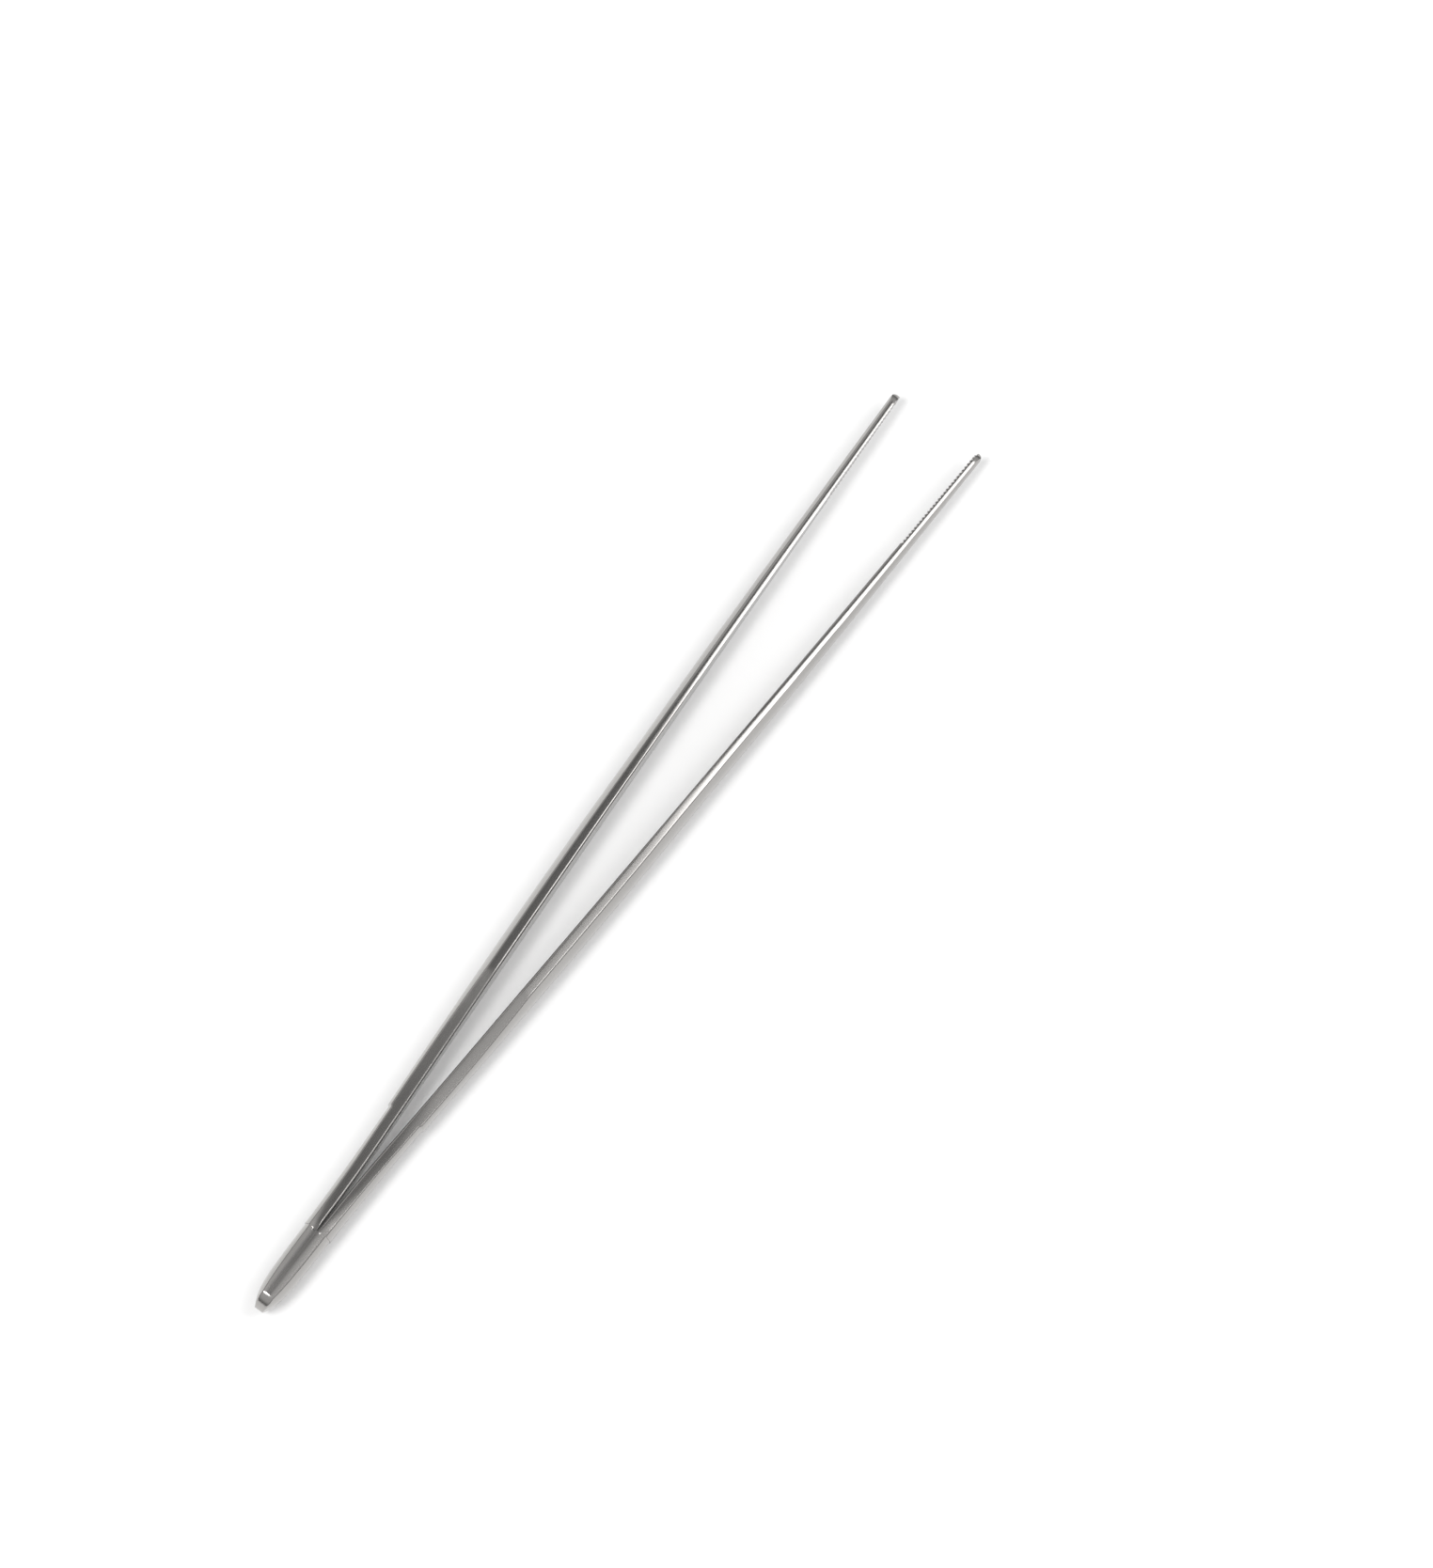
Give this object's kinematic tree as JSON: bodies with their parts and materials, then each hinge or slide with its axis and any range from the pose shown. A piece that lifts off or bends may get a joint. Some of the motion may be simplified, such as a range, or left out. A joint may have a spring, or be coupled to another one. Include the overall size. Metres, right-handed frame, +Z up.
{
  "type": "thumb forceps",
  "caption": "Thumb forceps of two crowned, tapering steel arms joined at the heel, with a raised grip and cross-serrated jaws that stand open.",
  "frame": {"origin": "on the surface it lies on, under the middle of the forceps's length and of its opening", "axes": "+X from the heel to the tips, +Y across the opening towards the left arm, +Z up, across the width of the blades"},
  "size_m": [0.25, 0.0252, 0.0108],
  "materials": {
    "steel": "satin, ground and polished along each arm"
  },
  "bodies": {
    "root": {"left_arm": "steel", "right_arm": "steel"}
  },
  "joints": []
}
